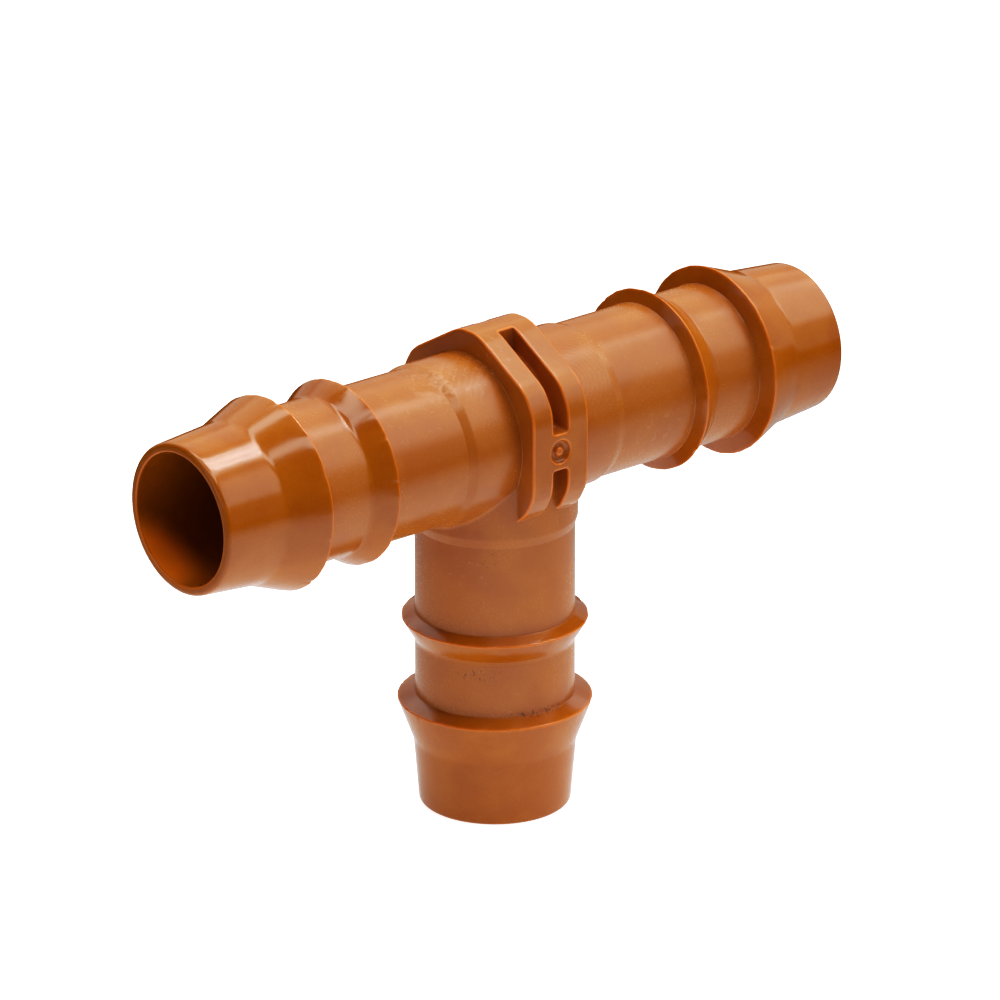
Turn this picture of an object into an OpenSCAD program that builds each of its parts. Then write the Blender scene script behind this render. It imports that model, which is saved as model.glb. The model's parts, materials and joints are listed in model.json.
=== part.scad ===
// Equal tee for small irrigation hose: three identical barbed arms and a hexagonal grip collar.
// The run lies along X, the branch points down -Z, and the origin is where their axes cross.
// The real fitting is one moulding. It is drawn here as five touching zones, split at its own
// edges: the hub, the grip collar and the three barbed spigots.

/* [Waterway] */
// Diameter of the waterway through all three arms
bore_d = 11.7; // [8:0.1:12]

/* [Arms] */
// Distance from the crossing of the axes to each mouth
arm_len = 34.9; // [34:0.1:45]
// Outside diameter of the plain tube behind and between the barbs
tube_d = 14; // [13.2:0.1:14.4]
// Outside diameter of each arm at its mouth
mouth_d = 13.3; // [12.6:0.1:13.4]
// Rounding of the mouth's outer edge
mouth_round = 0.45; // [0.1:0.05:0.5]

/* [Inner barb] */
// Diameter across the crest nearer the hub, before it is rounded
inner_crest_d = 16.5; // [15.6:0.1:18]
// Distance from the crossing of the axes to that crest
inner_crest_at = 17.5; // [12:0.1:19.5]
// Length of its flare from the crest to the plain tube
inner_flare_len = 2.05; // [1.5:0.05:2.8]

/* [Outer barb] */
// Diameter across the crest nearer the mouth, before it is rounded
outer_crest_d = 17.2; // [15.6:0.1:18]
// Distance from the crossing of the axes to that crest
outer_crest_at = 25.1; // [24.5:0.1:27]
// Length of its flare from the crest to the nose
outer_flare_len = 3.9; // [3:0.1:5]

/* [Barb edges] */
// How far each back face leans from the tube to the crest, along the arm
back_lean = 0.5; // [0.2:0.05:1]
// Rounding of each crest
crest_round = 0.15; // [0.05:0.05:0.3]

/* [Hub] */
// Outside diameter of the hub's three stubs
hub_d = 14.5; // [14.5:0.1:15.2]
// Distance from the crossing of the axes to the end of each stub's full diameter
hub_step_at = 8; // [7.5:0.1:9]
// Length of the taper from a stub to the plain tube
hub_step_len = 0.85; // [0.3:0.05:1.5]

/* [Grip collar] */
// Distance across the collar's flats
collar_af = 17.5; // [17.2:0.1:20]
// How far the collar's trimmed corners stand out past its flats
corner_out = 0.65; // [0.3:0.05:1.2]
// Width of the collar along the run
collar_w = 6.2; // [4.5:0.1:8]
// Width of the slots that core out the collar's rim
slot_w = 1.7; // [1:0.1:2.5]
// Height of the bridge between the slots, at the middle of the front and back flats
bridge_h = 3.3; // [2.6:0.1:5]
// Thickness of the web left between the slots across the top of the collar
top_web = 2.8; // [1.5:0.1:5]

/* [Gate mark] */
// Diameter of the round dimple where the moulding was filled
gate_d = 2.1; // [1:0.1:2.4]
// Depth of that dimple
gate_depth = 0.45; // [0.2:0.05:0.6]
// Diameter of the sheared stub in the dimple
gate_stub_d = 0.8; // [0.4:0.1:0.9]

/* [Hidden] */
$fn = 96;
plastic = [0.70, 0.42, 0.24];
bore_r = bore_d / 2;
tube_r = tube_d / 2;
mouth_r = mouth_d / 2;
hub_r = hub_d / 2;
hub_end = hub_step_at + hub_step_len;
nose_at = outer_crest_at + outer_flare_len;
// The nose starts a little outside the plain tube, where the outer flare runs out.
nose_r = tube_r + 0.15;
// Distance over which a flare bends into the tube or the nose
flare_blend = 0.35;
// The mouth's rounding leaves at least half of the rim for a flat and the bore's edge.
mouth_edge = min(mouth_round, (mouth_r - bore_r) / 2);
// Rounding where a back face rises from the tube, and of the bore's edge at the mouth
small_round = 0.08;
collar_flat = collar_af / 2;
corner_r = collar_flat + corner_out;
gate_floor = collar_flat - gate_depth;
// Cutting shapes reach this far past what they cut.
past = 1;
// Straight pieces in each rounded corner
corner_steps = 5;

function towards(a, b, dist) = a + (b - a) * (dist / norm(b - a));

function bend(a, corner, b) = [
    for (i = [0 : corner_steps])
        let (t = i / corner_steps)
        a * pow(1 - t, 2) + corner * 2 * t * (1 - t) + b * pow(t, 2)
];

// The point of a corner given as [radius, distance along the arm, rounding].
function point(corner) = [corner[0], corner[1]];

// A closed outline through such corners, each rounded by its own amount.
function rounded(corners) = [
    for (i = [0 : len(corners) - 1])
        let (
            here = point(corners[i]),
            before = point(corners[(i + len(corners) - 1) % len(corners)]),
            after = point(corners[(i + 1) % len(corners)]),
            size = corners[i][2]
        )
        each size == 0
            ? [here]
            : bend(towards(here, before, size), here, towards(here, after, size))
];

// Half section of one barbed arm, from the hub's taper to the mouth.
spigot_outline = rounded([
    [bore_r, hub_end, 0],
    [tube_r, hub_end, 0],
    [tube_r, inner_crest_at - back_lean, small_round],
    [inner_crest_d / 2, inner_crest_at, crest_round],
    [tube_r, inner_crest_at + inner_flare_len, flare_blend],
    [tube_r, outer_crest_at - back_lean, small_round],
    [outer_crest_d / 2, outer_crest_at, crest_round],
    [nose_r, nose_at, flare_blend],
    [mouth_r, arm_len, mouth_edge],
    [bore_r, arm_len, small_round]
]);

// A barbed arm that runs up +Z.
module spigot() {
    color(plastic) rotate_extrude() polygon(spigot_outline);
}

// One stub of the hub with its taper, running up +Z from the crossing.
module stub() {
    cylinder(h = hub_step_at, r = hub_r);
    translate([0, 0, hub_step_at]) cylinder(h = hub_step_len, r1 = hub_r, r2 = tube_r);
}

// Outside of the hub before it is bored.
module hub_skin() {
    rotate([0, 90, 0]) stub();
    rotate([0, -90, 0]) stub();
    rotate([180, 0, 0]) stub();
}

module tee_body() {
    color(plastic) difference() {
        hub_skin();
        rotate([0, 90, 0]) cylinder(h = 2 * (hub_end + past), r = bore_r, center = true);
        rotate([180, 0, 0]) cylinder(h = hub_end + past, r = bore_r);
    }
}

// Hexagon with its corners up and down, trimmed round, before it is fitted on the hub.
module collar_blank() {
    rotate([0, 90, 0]) intersection() {
        cylinder(h = collar_w, r = collar_flat / cos(30), center = true, $fn = 6);
        cylinder(h = collar_w + past, r = corner_r, center = true);
    }
}

// The round hub inside the collar. The branch passes right through the collar's lower side.
module collar_seat() {
    rotate([0, 90, 0]) cylinder(h = collar_w + past, r = hub_r, center = true);
    rotate([180, 0, 0]) cylinder(h = corner_r + past, r = hub_r);
}

// The upper and lower slot of the front half, cored out towards -Y.
module front_slots() {
    reach = corner_r + past;
    for (side = [-1, 1])
        translate([-slot_w / 2, -reach, side > 0 ? bridge_h / 2 : -reach])
            cube([slot_w, reach - top_web / 2, reach - bridge_h / 2]);
}

module grip_collar() {
    color(plastic) {
        difference() {
            collar_blank();
            collar_seat();
            front_slots();
            rotate([0, 0, 180]) front_slots();
            translate([0, -gate_floor, 0]) rotate([90, 0, 0]) cylinder(h = gate_depth + past, d = gate_d);
        }
        translate([0, -gate_floor, 0]) rotate([90, 0, 0])
            cylinder(h = gate_depth * 0.8, d1 = gate_stub_d, d2 = gate_stub_d * 0.6);
    }
}

module left_spigot() {
    rotate([0, -90, 0]) spigot();
}

module right_spigot() {
    rotate([0, 90, 0]) spigot();
}

module branch_spigot() {
    rotate([180, 0, 0]) spigot();
}

tee_body();
grip_collar();
left_spigot();
right_spigot();
branch_spigot();
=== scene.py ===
"""A caramel-brown barbed tee for small irrigation hose, standing on its branch on a white table.

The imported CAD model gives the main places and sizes. Each of its five zones is rebuilt here with its
real roundings, fillets and small moulding marks. The tee's lengths are in millimetres until a mesh is
made, and those of the table and the camera in metres.
"""

import json
import math

import bmesh
import bpy
import numpy as np
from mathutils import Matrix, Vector, noise as mesh_noise


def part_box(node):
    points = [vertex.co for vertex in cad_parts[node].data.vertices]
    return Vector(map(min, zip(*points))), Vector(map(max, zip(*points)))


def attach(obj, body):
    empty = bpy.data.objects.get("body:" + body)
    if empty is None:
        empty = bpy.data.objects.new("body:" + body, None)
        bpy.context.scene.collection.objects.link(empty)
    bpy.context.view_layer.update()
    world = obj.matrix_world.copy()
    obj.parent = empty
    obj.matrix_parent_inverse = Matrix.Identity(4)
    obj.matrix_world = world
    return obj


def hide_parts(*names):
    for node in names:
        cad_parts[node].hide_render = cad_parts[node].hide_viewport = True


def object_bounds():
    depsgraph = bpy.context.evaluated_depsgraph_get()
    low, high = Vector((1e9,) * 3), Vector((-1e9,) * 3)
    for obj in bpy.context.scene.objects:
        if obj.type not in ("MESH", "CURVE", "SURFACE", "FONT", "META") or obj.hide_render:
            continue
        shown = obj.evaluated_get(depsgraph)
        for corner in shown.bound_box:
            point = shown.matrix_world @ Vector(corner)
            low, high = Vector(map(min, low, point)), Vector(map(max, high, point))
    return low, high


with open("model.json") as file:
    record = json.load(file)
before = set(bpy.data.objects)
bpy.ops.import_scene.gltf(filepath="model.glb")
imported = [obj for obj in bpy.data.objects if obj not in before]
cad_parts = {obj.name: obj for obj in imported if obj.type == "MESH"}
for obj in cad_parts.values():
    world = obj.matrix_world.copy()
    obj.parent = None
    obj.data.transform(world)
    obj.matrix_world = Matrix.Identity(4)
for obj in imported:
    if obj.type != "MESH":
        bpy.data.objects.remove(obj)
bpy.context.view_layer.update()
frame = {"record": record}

MM = 0.001


# ---------------------------------------------------------------- sizes read from the frame

def mount(name):
    return next(m for m in frame["record"]["mounts"] if m["name"] == name)


def box_mm(node):
    low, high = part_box(node)
    return low / MM, high / MM


arm_low, arm_high = box_mm("right_spigot")
hub_high = box_mm("tee_body")[1]
collar_high = box_mm("grip_collar")[1]

BORE_R = mount("run_bore")["dims"]["r_mm"]
MOUTH_AT = arm_high.x
HUB_END = arm_low.x
HUB_R = hub_high.z
COLLAR_FLAT = collar_high.y
COLLAR_CORNER = collar_high.z
COLLAR_HALF_W = collar_high.x

# ---------------------------------------------------------------- sizes of the real moulding

TUBE_R = 7.0
MOUTH_R = 6.65
NOSE_R = 7.15
INNER_CREST_R = 8.25
INNER_CREST_AT = 17.5
INNER_FLARE = 2.05
OUTER_CREST_R = 8.6
OUTER_CREST_AT = 25.1
OUTER_FLARE = 3.9
BACK_LEAN = 0.5
CREST_ROUND = 0.15
FLARE_BLEND = 0.35
ROOT_ROUND = 0.08
LIP_ROUND = 0.42
LIP_INNER_ROUND = 0.16
STEP_AT = 8.0
STEP_ROUND = 0.12
HUB_FILLET = 0.45

SLOT_HALF_W = 0.85
BRIDGE_HALF_H = 1.65
WEB_HALF_W = 1.4
COLLAR_EDGE = 0.16
COLLAR_CORNER_ROUND = COLLAR_EDGE * 2
SLOT_CORNER_ROUND = COLLAR_EDGE * 2
SLOT_EDGE = COLLAR_EDGE * 0.7
COLLAR_FOOT = 0.12
FOOT_REACH = COLLAR_FOOT * 0.8
COLLAR_ROOT = 0.3
GATE_R = 1.05
GATE_DEPTH = 0.45
GATE_ROUND = 0.4
STUB_R = 0.42
STUB_HEIGHT = GATE_DEPTH * 0.8
STUB_ROUND = 0.25

# Vertices round an arm, steps in a rounded corner, and gaps between rows and grid points
AROUND = 320
ARC_STEPS = 8
ROW_GAP = 0.6
GRID = 0.11
HUB_ROWS = 18
ROW_CROWDING = 2.2
WELD_DIST = 0.001
SHARP_ANGLE = math.radians(50)
# How far the collar's foot ends under the hub's skin, so that two surfaces never lie in one plane
SKIN_GAP = 0.02
# Steps that move a mesh onto its surface, and the least slope that a step counts on
HUB_SETTLING = 4
COLLAR_SETTLING = 5
LEAST_STEEP = 0.05
# The hub's fillet where the cylinders run side by side, as a share of its full size
LEAST_FILLET = 0.02

# The barb crests' wear: its reach, its depth, how fast it changes along them, and its rare nicks
CREST_REACH = 0.35
WEAR_DEPTH = 0.11
LEAST_WEAR = WEAR_DEPTH * 0.05
UNEVEN_SCALE = 0.6
NICK_SCALE = 1.3
NICK_RARE = 0.42
NICK_GROWTH = 5
# How far the painted glow on thin edges reaches: a brighter colour standing in for light through the
# plastic
PAINTED_GLOW_REACH = 0.25
# The tubes are satin outside this radius, and the collar by this share
SATIN_FROM_R = BORE_R + 1
COLLAR_SATIN = 0.7


# ---------------------------------------------------------------- mesh helpers

def towards(a, b, dist):
    return a + (b - a) * (dist / np.linalg.norm(b - a))


def rounded(corners):
    """A closed outline through (radius, along, rounding) corners, each rounded by its own amount."""
    points = []
    count = len(corners)
    for i, (radius, along, size) in enumerate(corners):
        here = np.array((radius, along))
        if size == 0:
            points.append(here)
            continue
        start = towards(here, np.array(corners[i - 1][:2]), size)
        end = towards(here, np.array(corners[(i + 1) % count][:2]), size)
        for step in range(ARC_STEPS + 1):
            t = step / ARC_STEPS
            points.append(start * (1 - t) ** 2 + here * 2 * t * (1 - t) + end * t ** 2)
    return points


def smooth(mesh):
    mesh.shade_smooth()
    mesh.set_sharp_from_angle(angle=SHARP_ANGLE)


def make_mesh(name, points_mm, faces):
    mesh = bpy.data.meshes.new(name)
    mesh.from_pydata((np.asarray(points_mm) * MM).tolist(), [], faces)
    mesh.validate()
    smooth(mesh)
    piece = bpy.data.objects.new(name, mesh)
    bpy.context.scene.collection.objects.link(piece)
    return piece


def add_attribute(piece, name, values):
    attribute = piece.data.attributes.new(name, "FLOAT", "POINT")
    attribute.data.foreach_set("value", np.asarray(values, np.float32))


def with_rows(points, gap):
    """The closed outline with its long straight stretches split into rows."""
    rows = []
    for here, after in zip(points, points[1:] + points[:1]):
        parts = max(1, round(math.dist(here, after) / gap))
        rows += [here + (after - here) * (part / parts) for part in range(parts)]
    return rows


def ring_faces(rings, closed=False):
    """Quads between stacked rings of vertices. A closed stack joins its last ring to its first."""
    faces = []
    for ring in range(rings if closed else rings - 1):
        low = ring * AROUND
        high = ((ring + 1) % rings) * AROUND
        for i in range(AROUND):
            j = (i + 1) % AROUND
            faces.append((low + i, low + j, high + j, high + i))
    return faces


def turned(outline, axis):
    """The points of an outline turned about an axis through the origin, ring after ring."""
    side = axis.orthogonal().normalized()
    other = axis.cross(side)
    angles = np.arange(AROUND) * (2 * math.pi / AROUND)
    round_dirs = np.outer(np.cos(angles), side) + np.outer(np.sin(angles), other)
    return np.concatenate([radius * round_dirs + along * np.array(axis) for radius, along in outline])


# ---------------------------------------------------------------- distance functions, millimetres

def rounded_union(a, b, r):
    u = np.maximum(r - a, 0)
    v = np.maximum(r - b, 0)
    return np.maximum(r, np.minimum(a, b)) - np.hypot(u, v)


def rounded_cut(a, b, r):
    """Inside both a and b, with the edge where they meet rounded."""
    u = np.maximum(r + a, 0)
    v = np.maximum(r + b, 0)
    return np.minimum(-r, np.maximum(a, b)) + np.hypot(u, v)


def run_cylinder(p, radius):
    return np.hypot(p[..., 1], p[..., 2]) - radius


def branch_cylinder(p, radius):
    below = np.hypot(p[..., 0], p[..., 1]) - radius
    return np.where(p[..., 2] < 0, below, np.maximum(below, p[..., 2]))


def hub_solid(p):
    return np.minimum(run_cylinder(p, HUB_R), branch_cylinder(p, HUB_R))


def collar_solid(p):
    """The hexagonal collar with its slots, gate dimple and stub, before it is let into the hub."""
    x, y, z = np.abs(p[..., 0]), np.abs(p[..., 1]), np.abs(p[..., 2])
    slanted = y * math.cos(math.pi / 3) + z * math.sin(math.pi / 3) - COLLAR_FLAT
    sides = rounded_cut(y - COLLAR_FLAT, slanted, COLLAR_EDGE)
    sides = rounded_cut(sides, np.hypot(y, z) - COLLAR_CORNER, COLLAR_CORNER_ROUND)
    solid = rounded_cut(sides, x - COLLAR_HALF_W, COLLAR_EDGE)
    slot = rounded_cut(x - SLOT_HALF_W, BRIDGE_HALF_H - z, SLOT_CORNER_ROUND)
    slot = rounded_cut(slot, WEB_HALF_W - y, COLLAR_EDGE)
    solid = rounded_cut(solid, -slot, SLOT_EDGE)
    off_gate = np.hypot(p[..., 0], p[..., 2])
    floor_at = COLLAR_FLAT - GATE_DEPTH
    front = -p[..., 1]
    dimple = rounded_cut(off_gate - GATE_R, floor_at - front, GATE_ROUND)
    solid = rounded_cut(solid, -dimple, COLLAR_EDGE)
    stub = rounded_cut(off_gate - STUB_R, front - floor_at - STUB_HEIGHT, STUB_ROUND)
    stub = np.maximum(stub, floor_at - GATE_DEPTH - front)
    return rounded_union(solid, stub, STUB_ROUND)


def collar_skin(p):
    """The collar with a fillet at its foot, let a little way into the hub and open round the branch."""
    collar = collar_solid(p)
    hub = hub_solid(p)
    filled = rounded_union(collar, hub + SKIN_GAP, COLLAR_FOOT)
    kept = np.maximum(filled, collar - FOOT_REACH)
    return np.maximum(kept, -(hub + COLLAR_ROOT))


def gradient(field, p, step=0.01):
    slopes = []
    for axis in range(3):
        shift = np.zeros(3)
        shift[axis] = step
        slopes.append((field(p + shift) - field(p - shift)) / (2 * step))
    return np.stack(slopes, axis=-1)


def settle(field, p, rounds):
    """Moves points onto the surface where the field is zero."""
    for _ in range(rounds):
        slope = gradient(field, p)
        steep = np.maximum((slope ** 2).sum(-1), LEAST_STEEP)
        p = p - slope * (field(p) / steep)[..., None]
    return p


def crossed_edges(value, grid, spacing):
    """The grid edges that cross the surface, where they cross it, and whether they start inside."""
    for axis in range(3):
        first = [slice(None)] * 3
        second = [slice(None)] * 3
        first[axis] = slice(None, -1)
        second[axis] = slice(1, None)
        a, b = value[tuple(first)], value[tuple(second)]
        crossed = (a < 0) != (b < 0)
        share = np.where(crossed, a / np.where(crossed, a - b, 1), 0)
        place = grid[tuple(first)].copy()
        place[..., axis] += share * spacing
        yield axis, crossed, place, a < 0


def quads_round(index, axis, crossed, inside_first):
    """A quad round each crossed edge, between the four cells that share it, facing outwards."""
    u, v = (axis + 1) % 3, (axis + 2) % 3
    cells = index.shape
    at = np.argwhere(crossed)
    at = at[(at[:, u] > 0) & (at[:, v] > 0) & (at[:, u] < cells[u]) & (at[:, v] < cells[v])]
    flip = ~inside_first[tuple(at.T)]
    corners = []
    for du, dv in ((1, 1), (0, 1), (0, 0), (1, 0)):
        cell = at.copy()
        cell[:, u] -= du
        cell[:, v] -= dv
        corners.append(index[tuple(cell.T)])
    quad = np.stack(corners, axis=1)
    quad[flip] = quad[flip][:, ::-1]
    return quad


def surface_net(field, low, high, spacing):
    """A closed quad mesh of the surface where the field is zero, one vertex per crossed cell."""
    sides = [np.arange(a, b + spacing, spacing) for a, b in zip(low, high)]
    grid = np.stack(np.meshgrid(*sides, indexing="ij"), axis=-1)
    value = field(grid)
    cells = tuple(n - 1 for n in value.shape)
    total = np.zeros(cells + (3,))
    count = np.zeros(cells)
    edges = list(crossed_edges(value, grid, spacing))
    for axis, crossed, place, _ in edges:
        u, v = [k for k in range(3) if k != axis]
        for du in (0, 1):
            for dv in (0, 1):
                window = [slice(None)] * 3
                window[u] = slice(du, du + cells[u])
                window[v] = slice(dv, dv + cells[v])
                window = tuple(window)
                total += np.where(crossed[window][..., None], place[window], 0)
                count += crossed[window]
    used = count > 0
    index = np.full(cells, -1)
    index[used] = np.arange(used.sum())
    points = total[used] / count[used][:, None]
    quads = [quads_round(index, axis, crossed, inside) for axis, crossed, _, inside in edges]
    return points, np.concatenate(quads).tolist()


# ---------------------------------------------------------------- pieces

SPIGOT_OUTLINE = [
    (BORE_R, HUB_END, 0),
    (TUBE_R, HUB_END, 0),
    (TUBE_R, INNER_CREST_AT - BACK_LEAN, ROOT_ROUND),
    (INNER_CREST_R, INNER_CREST_AT, CREST_ROUND),
    (TUBE_R, INNER_CREST_AT + INNER_FLARE, FLARE_BLEND),
    (TUBE_R, OUTER_CREST_AT - BACK_LEAN, ROOT_ROUND),
    (OUTER_CREST_R, OUTER_CREST_AT, CREST_ROUND),
    (NOSE_R, OUTER_CREST_AT + OUTER_FLARE, FLARE_BLEND),
    (MOUTH_R, MOUTH_AT, LIP_ROUND),
    (BORE_R, MOUTH_AT, LIP_INNER_ROUND),
]
CRESTS = [(INNER_CREST_R, INNER_CREST_AT), (OUTER_CREST_R, OUTER_CREST_AT)]
LIP = (BORE_R, MOUTH_AT)


def near_edges(outline, edges, reach):
    """1 where the outline passes an edge, fading to 0 with the distance from it."""
    off = [min(math.dist(point, edge) for edge in edges) for point in outline]
    return np.exp(-(np.array(off) / reach) ** 2)


def worn(points, axis, depths):
    """Points drawn in towards the axis, up to their own depth, unevenly and in a few nicks."""
    out = points.copy()
    axis = np.array(axis)
    for i in np.flatnonzero(depths > LEAST_WEAR):
        place = Vector(points[i])
        uneven = abs(mesh_noise.noise(place * UNEVEN_SCALE))
        nick = max(0, mesh_noise.noise(place * NICK_SCALE) - NICK_RARE) * NICK_GROWTH
        from_axis = points[i] - points[i].dot(axis) * axis
        out[i] -= from_axis / np.linalg.norm(from_axis) * depths[i] * min(1, uneven + nick)
    return out


def build_spigot(name, axis):
    outline = with_rows(rounded(SPIGOT_OUTLINE), ROW_GAP)
    points = turned(outline, axis)
    depths = np.repeat(near_edges(outline, CRESTS, CREST_REACH), AROUND) * WEAR_DEPTH
    points = worn(points, axis, depths)
    # Where the painted edge glow goes: near the crests and the lip
    painted_edge_glow = near_edges(outline, CRESTS + [LIP], PAINTED_GLOW_REACH)
    bore = [radius < BORE_R + WELD_DIST for radius, along in outline]
    satin = [
        SATIN_FROM_R < radius < TUBE_R + WELD_DIST and along < OUTER_CREST_AT
        for radius, along in outline
    ]
    piece = make_mesh(name, points, ring_faces(len(outline), closed=True))
    for label, values in (("painted_edge_glow", painted_edge_glow), ("bore", bore), ("satin", satin)):
        add_attribute(piece, label, np.repeat(values, AROUND))
    return piece


def hub_blend(p):
    """The hub's skin, with its inside corner filled where the branch leaves the run."""
    run = run_cylinder(p, HUB_R)
    # The fillet fades out where the two cylinders run side by side.
    size = HUB_FILLET * np.clip(1 - (p[..., 1] / HUB_R) ** 2, LEAST_FILLET, 1)
    both = rounded_union(run, np.hypot(p[..., 0], p[..., 1]) - HUB_R, size)
    return np.where(p[..., 2] < 0, both, run)


def meeting_rings(radius, reach):
    """Rings of the right, left and lower hub arm, from the line where the arms meet to their ends."""
    angles = np.arange(AROUND) * (2 * math.pi / AROUND)
    c, s = radius * np.cos(angles), radius * np.sin(angles)
    rows = np.linspace(0, 1, HUB_ROWS)[:, None] ** ROW_CROWDING
    run_start, branch_start = np.maximum(0, -s), np.abs(c)
    run_along = run_start + (reach - run_start) * rows
    branch_along = branch_start + (reach - branch_start) * rows
    ring_c, ring_s = np.broadcast_to(c, run_along.shape), np.broadcast_to(s, run_along.shape)
    return (
        np.stack([run_along, ring_c, ring_s], axis=-1),
        np.stack([-run_along, ring_c, ring_s], axis=-1),
        np.stack([ring_c, ring_s, -branch_along], axis=-1),
    )


def build_hub(name):
    # The first corner only gives the line that the step's rounding starts from.
    step = rounded([(HUB_R, STEP_AT - 1, 0), (HUB_R, STEP_AT, STEP_ROUND), (TUBE_R, HUB_END, 0)])[1:]
    step += [np.array((BORE_R, HUB_END))]
    skin = meeting_rings(HUB_R, STEP_AT - STEP_ROUND)
    waterway = meeting_rings(BORE_R, HUB_END)
    points, faces = [], []
    for arm, (outside, inside) in enumerate(zip(skin, waterway)):
        outside = settle(hub_blend, outside, HUB_SETTLING)
        along = 0 if arm < 2 else 2
        last = outside[-1]
        ends = []
        for radius, at in step[1:]:
            ring = last * (radius / HUB_R)
            ring[:, along] = math.copysign(at, last[0, along])
            ends.append(ring)
        rings = np.concatenate([outside, ends, inside[::-1][1:]])
        start = sum(len(p) for p in points)
        points.append(rings.reshape(-1, 3))
        sleeve = np.array(ring_faces(len(rings))) + start
        # The right arm's faces would turn the other way round from those of the other two.
        faces += sleeve[:, ::-1].tolist() if arm == 0 else sleeve.tolist()
    points = np.concatenate(points)
    piece = make_mesh(name, points, faces)
    add_attribute(piece, "satin", np.ones(len(points)))
    weld(piece)
    return piece


def build_collar(name):
    reach = COLLAR_CORNER + GRID * 2
    low = (-COLLAR_HALF_W - COLLAR_FOOT - GRID * 2, -COLLAR_FLAT - GRID * 2, -reach)
    points, faces = surface_net(collar_skin, low, tuple(-v for v in low), GRID)
    points = settle(collar_skin, points, COLLAR_SETTLING)
    # The collar's outward bends, where the painted edge glow goes
    bend = sum(
        collar_skin(points + shift) + collar_skin(points - shift)
        for shift in np.eye(3) * PAINTED_GLOW_REACH
    ) / PAINTED_GLOW_REACH
    piece = make_mesh(name, points, faces)
    add_attribute(piece, "painted_edge_glow", np.clip(bend, 0, 1))
    add_attribute(piece, "satin", np.full(len(points), COLLAR_SATIN))
    return piece


def weld(piece):
    """Joins vertices that lie in one place, and turns every face outwards."""
    skin = bmesh.new()
    skin.from_mesh(piece.data)
    bmesh.ops.remove_doubles(skin, verts=skin.verts, dist=WELD_DIST * MM)
    bmesh.ops.recalc_face_normals(skin, faces=skin.faces)
    skin.to_mesh(piece.data)
    skin.free()
    smooth(piece.data)


hub_shell = build_hub("hub_shell")
collar_shell = build_collar("collar_shell")
left_shell = build_spigot("left_spigot_shell", Vector((-1, 0, 0)))
right_shell = build_spigot("right_spigot_shell", Vector((1, 0, 0)))
branch_shell = build_spigot("branch_spigot_shell", Vector((0, 0, -1)))
PIECES = {
    "tee_body": hub_shell,
    "grip_collar": collar_shell,
    "left_spigot": left_shell,
    "right_spigot": right_shell,
    "branch_spigot": branch_shell,
}
for node, piece in PIECES.items():
    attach(piece, "root")
    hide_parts(node)


# ---------------------------------------------------------------- node helpers

def new_material(name):
    material = bpy.data.materials.new(name)
    material.use_nodes = True
    material.node_tree.nodes.clear()
    return material, material.node_tree


def feed(tree, socket, value):
    if isinstance(value, bpy.types.NodeSocket):
        tree.links.new(value, socket)
    else:
        socket.default_value = value


def add_node(tree, kind, inputs=None, **settings):
    node = tree.nodes.new(kind)
    for key, value in settings.items():
        setattr(node, key, value)
    for key, value in (inputs or {}).items():
        feed(tree, node.inputs[key], value)
    return node


def calc(tree, operation, *values):
    return add_node(tree, "ShaderNodeMath", dict(enumerate(values)), operation=operation).outputs[0]


def vector_calc(tree, operation, *values):
    node = add_node(tree, "ShaderNodeVectorMath", dict(enumerate(values)), operation=operation)
    is_number = operation in ("DOT_PRODUCT", "LENGTH", "DISTANCE")
    return node.outputs["Value" if is_number else "Vector"]


def fade(tree, value, none_at, full_at):
    """A smooth step from 0, where the value is none_at, to 1, where it is full_at."""
    rising = none_at < full_at
    return add_node(tree, "ShaderNodeMapRange", {
        "Value": value,
        "From Min": min(none_at, full_at),
        "From Max": max(none_at, full_at),
        "To Min": 0.0 if rising else 1.0,
        "To Max": 1.0 if rising else 0.0,
    }, interpolation_type="SMOOTHSTEP").outputs["Result"]


def noise(tree, place, scale, detail=2.0, distortion=0.0):
    return add_node(tree, "ShaderNodeTexNoise", {
        "Vector": place, "Scale": scale, "Detail": detail, "Distortion": distortion,
    }).outputs["Fac"]


def tint(tree, share, below, above):
    """The colour below, with a share of the colour above over it."""
    node = add_node(tree, "ShaderNodeMix", data_type="RGBA")
    feed(tree, node.inputs[0], share)
    feed(tree, node.inputs[6], below)
    feed(tree, node.inputs[7], above)
    return node.outputs[2]


# ---------------------------------------------------------------- materials

PLAIN_COLOR = (0.40, 0.114, 0.003, 1)
DEEP_COLOR = (0.35, 0.092, 0.001, 1)
WARM_COLOR = (0.44, 0.136, 0.004, 1)
# Painted light: the glow inside the left mouth, standing in for daylight through the wall
PAINTED_LIGHT_COLOR = (0.95, 0.26, 0.010, 1)
# Painted light: the glow on thin edges, standing in for light through the plastic
PAINTED_GLOW_COLOR = (0.72, 0.185, 0.012, 1)
SCUFF_COLOR = (0.66, 0.36, 0.20, 1)
SPECK_COLOR = (0.10, 0.035, 0.010, 1)


def on_run(x, angle):
    """A point of the run's skin. The angle is 0 at the front and 90 at the top."""
    a = math.radians(angle)
    return Vector((x, -HUB_R * math.cos(a), HUB_R * math.sin(a)))


def on_branch(down, angle):
    """A point of the branch's skin. The angle is 0 at the front and 90 at the right."""
    a = math.radians(angle)
    return Vector((TUBE_R * math.sin(a), -TUBE_R * math.cos(a), -down))


# Noise scales, per millimetre, and detail: cloudy colour, fine grain, and the skin's slow waves
CLOUD = (0.22, 3.0)
GRAIN = (5.5, 4.0)
PEEL = (1.1, 2.0)

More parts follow.
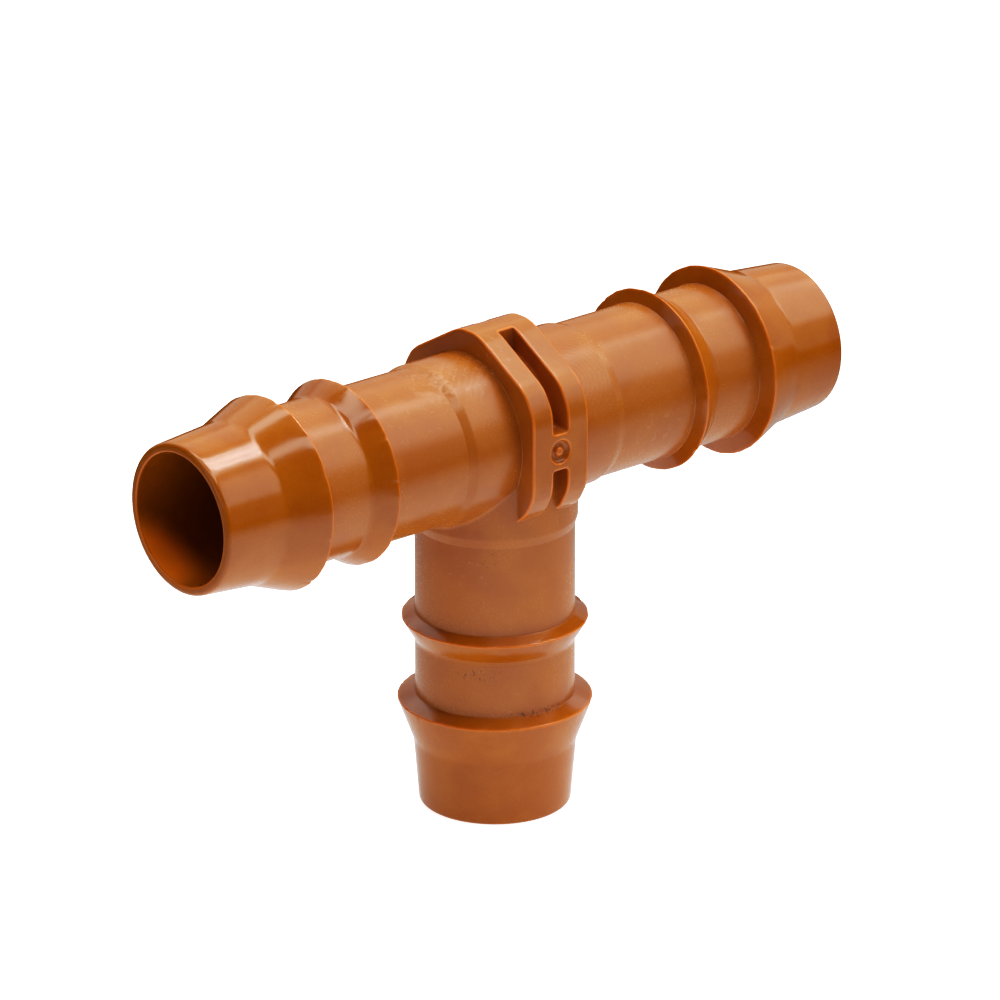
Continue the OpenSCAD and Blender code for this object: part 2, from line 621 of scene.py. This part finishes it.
# Fine lines where the plastic flowed past the collar: the middle and reach of each patch, the
# streaks' turn and scales on the left, and the ripples' middle and gap on the right
LEFT_FLOW = (on_run(-5.8, 68), (3.0, 4.0, 4.0))
STREAK_TURN = 40
STREAK_SCALES = (0.45, 3.6, 0.45)
RIGHT_FLOW = (on_run(6.4, 46), (3.4, 5.0, 5.0))
RIPPLES_FROM = on_run(3.6, 40)
RIPPLE_GAP = 0.45
RIPPLE_SHARE = 0.35

# Spots are a middle, a reach, a scale, how rare they are and how strong.
# Rubbed ones are on the hub's left step, the left tube, the collar's top, the branch and the right tube.
RUBBED_SPOTS = [
    (on_run(-8.3, 68), (0.9, 2.6, 2.2), 2.2, 0.42, 2.0),
    (on_run(-9.6, 70), (2.4, 3.6, 2.5), 1.5, 0.52, 0.8),
    (on_run(-6.0, 66), (2.6, 3.4, 2.6), 1.8, 0.54, 0.7),
    (on_run(-13.0, 42), (4.2, 3.0, 3.0), 1.4, 0.55, 0.4),
    (on_run(-2.4, 72), (1.2, 3.6, 3.2), 1.8, 0.52, 0.7),
    (on_branch(11.0, -62), (3.0, 3.0, 2.6), 1.6, 0.58, 0.4),
    (on_run(13.0, -15), (4.0, 4.0, 4.0), 1.3, 0.54, 0.4),
]
MOST_RUBBED = 2.0
# Dark, dented flecks are on the branch, between its barbs, along the root of the outer one and near the
# hub.
PIT_SPOTS = [
    (on_branch(20.6, -52), (3.4, 3.4, 0.8), 3.0, 0.55, 1.0),
    (on_branch(24.4, -8), (4.6, 2.5, 0.45), 3.6, 0.50, 1.0),
    (on_branch(9.8, -46), (1.6, 1.6, 1.2), 3.2, 0.58, 1.0),
]
MOST_PITTED = 1.0

# A pool of painted light at this place inside the left mouth: a brighter colour standing in for daylight
# through the wall.
PAINTED_LIGHT_PATCH = (Vector((-MOUTH_AT, BORE_R * 0.6, -BORE_R * 0.8)), (5.0, 5.0, 4.5))
# How much of the painted edge glow goes into the colour
PAINTED_GLOW_SHARE = 0.8

# Where each fade of a noise or a mark starts and ends
SPOT_LIMITS = (1.0, 0.35)
CLOUD_LIMITS = (0.35, 0.62)
PALE_GRAIN_LIMITS = (0.4, 0.7)
ROUGH_GRAIN_LIMITS = (0.35, 0.7)
STREAK_LIMITS = (0.4, 0.64)
PAINTED_GLOW_LIMITS = (0.45, 1.0)
FLECK_EDGE = 0.16
# Detail and distortion of the flecks' noise, and scale, detail and distortion of the streaks'
FLECK_NOISE = (4.0, 0.2)
STREAK_NOISE = (1.0, 3.0, 0.6)

# What each mark adds to the colour, to the roughness and to the height of the skin
TINTS = {"satin": 0.05, "grain": 0.04, "flow": 0.22, "rubbed": 0.3}
PIT_TINT = 0.75
PLAIN_SHARE = 0.5
ROUGH_BASE = 0.11
ROUGH = {"grain": 0.04, "satin": 0.10, "cloud": 0.05, "rubbed": 0.18}
HEIGHTS = {"peel": 1.0, "grain": 0.05, "flow": 1.1, "rubbed": 0.7, "pits": -2.5}
BUMP_MM = 0.003
PLASTIC_IOR = 1.5
SHINE = 0.42


def patch(tree, place, middle, reach):
    """1 at the middle of a spot on the skin, fading to 0 at its reach along each axis."""
    off = vector_calc(tree, "SUBTRACT", place, tuple(middle))
    off = vector_calc(tree, "DIVIDE", off, reach)
    return fade(tree, vector_calc(tree, "LENGTH", off), *SPOT_LIMITS)


def flecks(tree, place, scale, rare):
    """Small separate spots, fewer of them as rare comes near 1."""
    return fade(tree, noise(tree, place, scale, *FLECK_NOISE), rare, rare + FLECK_EDGE)


def spots(tree, place, groups, most):
    """All groups of spots together, never stronger than most."""
    total = 0.0
    for middle, reach, scale, rare, strength in groups:
        group = patch(tree, place, middle, reach)
        group = calc(tree, "MULTIPLY", group, flecks(tree, place, scale, rare))
        total = calc(tree, "MULTIPLY_ADD", group, strength, total)
    return calc(tree, "MINIMUM", total, most)


def streaks(tree, place):
    """Long fine lines on the top of the run, turned about Z away from X."""
    along = add_node(tree, "ShaderNodeVectorRotate", {
        "Vector": place, "Angle": math.radians(-STREAK_TURN),
    }, rotation_type="Z_AXIS").outputs["Vector"]
    lines = noise(tree, vector_calc(tree, "MULTIPLY", along, STREAK_SCALES), *STREAK_NOISE)
    return fade(tree, lines, *STREAK_LIMITS)


def ripples(tree, place):
    """Rings about a point beside the collar."""
    off = vector_calc(tree, "SUBTRACT", place, tuple(RIPPLES_FROM))
    return add_node(tree, "ShaderNodeTexWave", {
        "Vector": off, "Scale": math.pi / 10 / RIPPLE_GAP,
        "Distortion": 3.2, "Detail": 3.0, "Detail Scale": 0.9,
    }, wave_type="RINGS", rings_direction="SPHERICAL").outputs["Fac"]


def flow_lines(tree, place):
    left = calc(tree, "MULTIPLY", patch(tree, place, *LEFT_FLOW), streaks(tree, place))
    right = calc(tree, "MULTIPLY", patch(tree, place, *RIGHT_FLOW), ripples(tree, place))
    return calc(tree, "MULTIPLY_ADD", right, RIPPLE_SHARE, left)


def weighted(tree, marks, weights, total):
    """A starting value with each named mark's share added."""
    for name, weight in weights.items():
        total = calc(tree, "MULTIPLY_ADD", marks[name], weight, total)
    return total


def plastic_color(tree, place, marks):
    color = tint(tree, fade(tree, marks["cloud"], *CLOUD_LIMITS), DEEP_COLOR, WARM_COLOR)
    color = tint(tree, PLAIN_SHARE, color, PLAIN_COLOR)
    pale = {**marks, "grain": fade(tree, marks["grain"], *PALE_GRAIN_LIMITS)}
    for name, share in TINTS.items():
        color = tint(tree, calc(tree, "MULTIPLY", pale[name], share), color, SCUFF_COLOR)
    color = tint(tree, calc(tree, "MULTIPLY", marks["pits"], PIT_TINT), color, SPECK_COLOR)
    # Painted light inside the left mouth, standing in for daylight through the wall
    painted_light = calc(tree, "MULTIPLY", marks["bore"], patch(tree, place, *PAINTED_LIGHT_PATCH))
    color = tint(tree, painted_light, color, PAINTED_LIGHT_COLOR)
    # Painted glow on crests, lips and collar edges, standing in for light through the thin plastic
    edge = fade(tree, marks["painted_edge_glow"], *PAINTED_GLOW_LIMITS)
    return tint(tree, calc(tree, "MULTIPLY", edge, PAINTED_GLOW_SHARE), color, PAINTED_GLOW_COLOR)


def plastic_roughness(tree, marks):
    uneven = {**marks, "grain": fade(tree, marks["grain"], *ROUGH_GRAIN_LIMITS)}
    return weighted(tree, uneven, ROUGH, ROUGH_BASE)


def make_plastic():
    material, tree = new_material("tee_plastic")
    metres = add_node(tree, "ShaderNodeTexCoord").outputs["Object"]
    place = vector_calc(tree, "MULTIPLY", metres, (1 / MM, 1 / MM, 1 / MM))
    marks = {
        name: add_node(tree, "ShaderNodeAttribute", attribute_name=name).outputs["Fac"]
        for name in ("painted_edge_glow", "bore", "satin")
    }
    marks["cloud"] = noise(tree, place, *CLOUD)
    marks["grain"] = noise(tree, place, *GRAIN)
    marks["peel"] = noise(tree, place, *PEEL)
    marks["flow"] = flow_lines(tree, place)
    marks["rubbed"] = spots(tree, place, RUBBED_SPOTS, MOST_RUBBED)
    marks["pits"] = spots(tree, place, PIT_SPOTS, MOST_PITTED)
    bump = add_node(tree, "ShaderNodeBump", {
        "Height": weighted(tree, marks, HEIGHTS, 0.0),
        "Strength": 1.0,
        "Distance": BUMP_MM * MM,
    })
    shader = add_node(tree, "ShaderNodeBsdfPrincipled", {
        "Base Color": plastic_color(tree, place, marks),
        "Roughness": plastic_roughness(tree, marks),
        "IOR": PLASTIC_IOR,
        "Specular IOR Level": SHINE,
        "Normal": bump.outputs[0],
    })
    add_node(tree, "ShaderNodeOutputMaterial", {"Surface": shader.outputs[0]})
    return material


plastic = make_plastic()
for piece in PIECES.values():
    piece.data.materials.append(plastic)


# ---------------------------------------------------------------- table, light and camera

VIEW_FROM = Vector((-0.4396, -0.5135, 0.2544))
VIEW_AT = Vector((-0.0013, -0.0022, -0.0060))
LENS = 300.5
SENSOR = 36

# Light that the camera meets and the light it shows
TONE_CURVE = ((0.04, 0.022), (0.15, 0.130), (0.30, 0.335), (0.62, 0.69))

TABLE_HALF = 1.5
TABLE_WHITE = 0.8
# Light added to the table where the camera sees it, so that only its deepest shadow shows
TABLE_GLOW = 0.85
# What the table gives back to the object: a small bright patch under it, and less and less
# further out
PATCH_AT = (-0.02, -0.05, 0.0)
PATCH_GLOW = 0.8
PATCH_REACH = 0.13
TABLE_BOUNCE = 0.55
BOUNCE_REACH = (0.05, 0.22)

# The studio's softboxes as the object sees them, in degrees: azimuth and elevation of the middle,
# width, height. Azimuth 0 is the -Y side and 90 the +X side.
SOFTBOXES = {
    "right": (60, 39, 76, 28),
    "back": (150, 42, 70, 30),
    "left_back": (248, 54, 44, 18),
    "low_left": (255, 4, 26, 8),
    "left": (272, 8, 60, 30),
}
STRENGTHS = {
    "right": 2.35,
    "back": 0.9,
    "left_back": 0.5,
    "low_left": 2.0,
    "left": 1.0,
    "tent": 0.65,
    "panel": 6.0,
    "tubes": 26.0,
}
BOX_EDGE = 0.22
# The side of the tent that is lit, away from the camera and to its right, and how far its light
# reaches round
TENT_SIDE = (0.94, 0.34, 0.0)
TENT_LIMITS = (-0.15, 0.55)
# The square lamp panel overhead, with an opening in its middle and three bright tubes along its far
# side. Places on it are distances from the point above the object, as shares of its height: first
# away from the camera, then to the camera's right.
PANEL_AWAY = (0.651, 0.759, 0.0)
PANEL_RIGHT = (0.759, -0.651, 0.0)
PANEL = ((-0.41, 0.47), (-0.43, 0.58))
OPENING = ((-0.21, 0.25), (-0.22, 0.36))
PANEL_EDGE = 0.04
TUBE_AT = 0.22
TUBE_GAP = 0.12
TUBE_WIDTH = 0.05
TUBE_END = 0.22
TUBE_FADE = 0.1
# The panel's light fades in as a direction rises from the first of these to the second.
PANEL_RISE = (0.3, 0.4)
LEAST_RISE = 0.05


def make_table():
    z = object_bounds()[0].z
    corners = [(-1, -1), (1, -1), (1, 1), (-1, 1)]
    mesh = bpy.data.meshes.new("table_top")
    mesh.from_pydata([(x * TABLE_HALF, y * TABLE_HALF, z) for x, y in corners], [], [(0, 1, 2, 3)])
    top = bpy.data.objects.new("table_top", mesh)
    bpy.context.scene.collection.objects.link(top)
    material, tree = new_material("white_table")
    to_camera = add_node(tree, "ShaderNodeLightPath").outputs["Is Camera Ray"]
    spot = add_node(tree, "ShaderNodeTexCoord").outputs["Object"]
    flat = vector_calc(tree, "MULTIPLY", spot, (1, 1, 0))
    off = vector_calc(tree, "DISTANCE", flat, PATCH_AT)
    bounce = calc(tree, "MULTIPLY", fade(tree, off, BOUNCE_REACH[1], BOUNCE_REACH[0]), TABLE_BOUNCE)
    patch_glow = calc(tree, "MULTIPLY", fade(tree, off, PATCH_REACH, 0.0), PATCH_GLOW)
    white = add_node(tree, "ShaderNodeMix", {0: to_camera, 2: bounce, 3: TABLE_WHITE}).outputs[0]
    added = add_node(tree, "ShaderNodeMix", {0: to_camera, 2: patch_glow, 3: TABLE_GLOW}).outputs[0]
    matt = add_node(tree, "ShaderNodeBsdfDiffuse", {"Color": white})
    glow = add_node(tree, "ShaderNodeEmission", {"Strength": added})
    lit = add_node(tree, "ShaderNodeAddShader", {0: matt.outputs[0], 1: glow.outputs[0]})
    # From below, the table lets the view through.
    clear = add_node(tree, "ShaderNodeBsdfTransparent")
    below = add_node(tree, "ShaderNodeNewGeometry").outputs["Backfacing"]
    side = add_node(tree, "ShaderNodeMixShader", {0: below, 1: lit.outputs[0], 2: clear.outputs[0]})
    add_node(tree, "ShaderNodeOutputMaterial", {"Surface": side.outputs[0]})
    mesh.materials.append(material)


def softbox(tree, direction, azimuth, elevation, width, height):
    """1 for directions that meet a softbox, fading to 0 over its edges."""
    a, e = math.radians(azimuth), math.radians(elevation)
    out = Vector((math.sin(a) * math.cos(e), -math.cos(a) * math.cos(e), math.sin(e)))
    side = Vector((math.cos(a), math.sin(a), 0))
    depth = vector_calc(tree, "DOT_PRODUCT", direction, tuple(out))
    seen = fade(tree, depth, 0.0, 0.1)
    for axis, size in ((side, width), (out.cross(side), height)):
        off = vector_calc(tree, "DOT_PRODUCT", direction, tuple(axis))
        off = calc(tree, "ABSOLUTE", calc(tree, "DIVIDE", off, calc(tree, "MAXIMUM", depth, 0.01)))
        edge = math.tan(math.radians(size / 2))
        inside = fade(tree, off, edge * (1 + BOX_EDGE), edge * (1 - BOX_EDGE))
        seen = calc(tree, "MULTIPLY", seen, inside)
    return seen


def between(tree, value, limits, edge):
    """1 where the value is between two limits, fading over their edges."""
    low, high = limits
    above = fade(tree, value, low - edge, low + edge)
    return calc(tree, "MULTIPLY", above, fade(tree, value, high + edge, high - edge))


def panel_lamp(tree, direction, rise):
    """The overhead panel, and the bright tubes in it."""
    high = calc(tree, "MAXIMUM", rise, LEAST_RISE)
    away = calc(tree, "DIVIDE", vector_calc(tree, "DOT_PRODUCT", direction, PANEL_AWAY), high)
    right = calc(tree, "DIVIDE", vector_calc(tree, "DOT_PRODUCT", direction, PANEL_RIGHT), high)

    def inside(box):
        return calc(tree, "MULTIPLY", *(
            between(tree, value, limits, PANEL_EDGE) for value, limits in zip((away, right), box)
        ))

    above = fade(tree, rise, *PANEL_RISE)
    whole = calc(tree, "MULTIPLY", inside(PANEL), above)
    panel = calc(tree, "MULTIPLY", whole, calc(tree, "SUBTRACT", 1.0, inside(OPENING)))
    from_tube = calc(tree, "PINGPONG", calc(tree, "SUBTRACT", away, TUBE_AT), TUBE_GAP / 2)
    far_side = calc(tree, "GREATER_THAN", away, TUBE_AT - TUBE_GAP / 2)
    right_end = fade(tree, right, TUBE_END - TUBE_FADE, TUBE_END + TUBE_FADE)
    tubes = calc(tree, "MULTIPLY", fade(tree, from_tube, TUBE_WIDTH / 2, TUBE_WIDTH / 5), far_side)
    tubes = calc(tree, "MULTIPLY", tubes, right_end)
    return panel, calc(tree, "MULTIPLY", tubes, whole)


def make_world():
    world = bpy.data.worlds.new("studio")
    bpy.context.scene.world = world
    world.use_nodes = True
    tree = world.node_tree
    tree.nodes.clear()
    direction = add_node(tree, "ShaderNodeTexCoord").outputs["Generated"]
    rise = add_node(tree, "ShaderNodeSeparateXYZ", {0: direction}).outputs["Z"]
    lights = {name: softbox(tree, direction, *place) for name, place in SOFTBOXES.items()}
    lights["tent"] = fade(tree, vector_calc(tree, "DOT_PRODUCT", direction, TENT_SIDE), *TENT_LIMITS)
    lights["panel"], lights["tubes"] = panel_lamp(tree, direction, rise)
    total = 0.0
    for name, seen in lights.items():
        total = calc(tree, "MULTIPLY_ADD", seen, STRENGTHS[name], total)
        total.node.name = name
    to_camera = add_node(tree, "ShaderNodeLightPath").outputs["Is Camera Ray"]
    studio = add_node(tree, "ShaderNodeBackground", {"Strength": total})
    backdrop = add_node(tree, "ShaderNodeBackground", {"Strength": 1.0})
    seen = add_node(tree, "ShaderNodeMixShader", {
        0: to_camera, 1: studio.outputs[0], 2: backdrop.outputs[0],
    })
    add_node(tree, "ShaderNodeOutputWorld", {"Surface": seen.outputs[0]})


def make_camera():
    camera = bpy.data.objects.new("camera", bpy.data.cameras.new("camera"))
    bpy.context.scene.collection.objects.link(camera)
    camera.data.lens = LENS
    camera.data.sensor_width = SENSOR
    camera.location = VIEW_FROM
    camera.rotation_mode = "QUATERNION"
    camera.rotation_quaternion = (VIEW_FROM - VIEW_AT).to_track_quat("Z", "Y")
    bpy.context.scene.camera = camera


def set_tones():
    """The contrast of the camera: a little darker in the shadows and lighter in the highlights."""
    settings = bpy.context.scene.view_settings
    settings.view_transform = "Standard"
    settings.use_curve_mapping = True
    curve = settings.curve_mapping.curves[3]
    for seen, shown in TONE_CURVE:
        curve.points.new(seen, shown)
    settings.curve_mapping.update()


make_table()
make_world()
make_camera()
set_tones()
